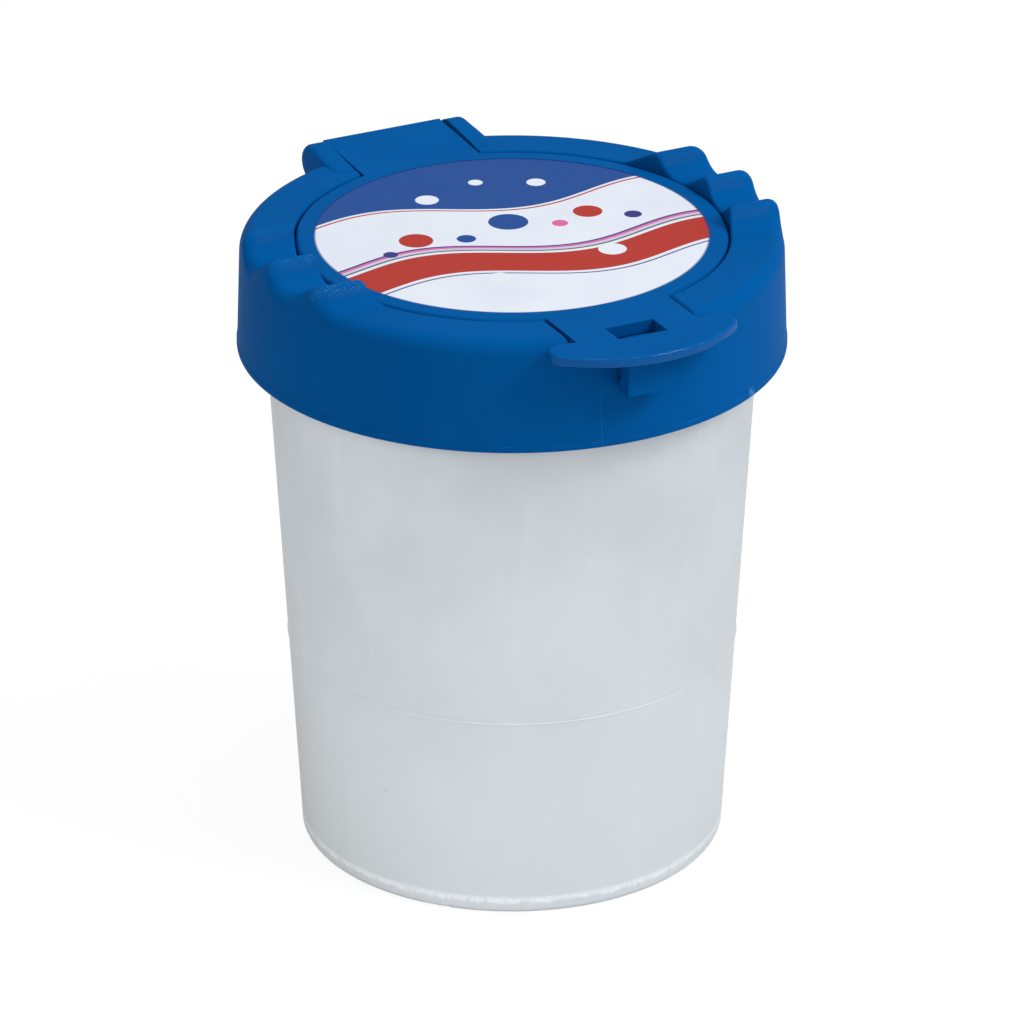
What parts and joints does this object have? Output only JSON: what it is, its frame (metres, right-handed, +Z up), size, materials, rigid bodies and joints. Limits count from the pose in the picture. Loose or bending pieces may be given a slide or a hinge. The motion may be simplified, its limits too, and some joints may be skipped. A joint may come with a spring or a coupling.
{
  "type": "paint cup with lid",
  "caption": "Frosted round water cup for brushes, with a screwed collar, spill funnel, hinged flap with thumb tab and latch, and waves on the rim as brush rests.",
  "frame": {"origin": "centre of the foot, on the surface that the cup stands on", "axes": "+Z up along the cup's axis, -Y to the thumb tab, +Y to the hinge, +X along the waves of the brush rests"},
  "size_m": [0.074, 0.0848, 0.09],
  "materials": {
    "frosted_plastic": "frosted, translucent",
    "blue_plastic": "satin",
    "soft_ring": "soft",
    "printed_film": null
  },
  "bodies": {
    "cup": {"cup": "frosted_plastic"},
    "rim_seal": {"lid_seal": "soft_ring"},
    "carrier": {"spill_funnel": "frosted_plastic"},
    "collar": {"collar": "blue_plastic"},
    "flap": {"flap": "blue_plastic", "flap_seal": "soft_ring", "label": "printed_film"}
  },
  "joints": [
    {"name": "lid_off", "type": "slide", "parent": "cup", "child": "rim_seal", "axis": [0, 0, 1], "range_m": [0, 0.06]},
    {"name": "lid_rise", "type": "slide", "parent": "rim_seal", "child": "carrier", "axis": [0, 0, 1], "range_m": [0, 0.0044]},
    {"name": "lid_turn", "type": "hinge", "parent": "carrier", "child": "collar", "pos_m": [0, 0, 0.0856], "axis": [0, 0, 1], "range_deg": [0, 450]},
    {"name": "flap_hinge", "type": "hinge", "parent": "collar", "child": "flap", "pos_m": [0, 0.03805, 0.0856], "axis": [-1, 0, 0], "range_deg": [0, 150]}
  ],
  "couplings": [
    {"joint": "lid_rise", "follows": "lid_turn", "m_per_rad": 0.000557}
  ]
}
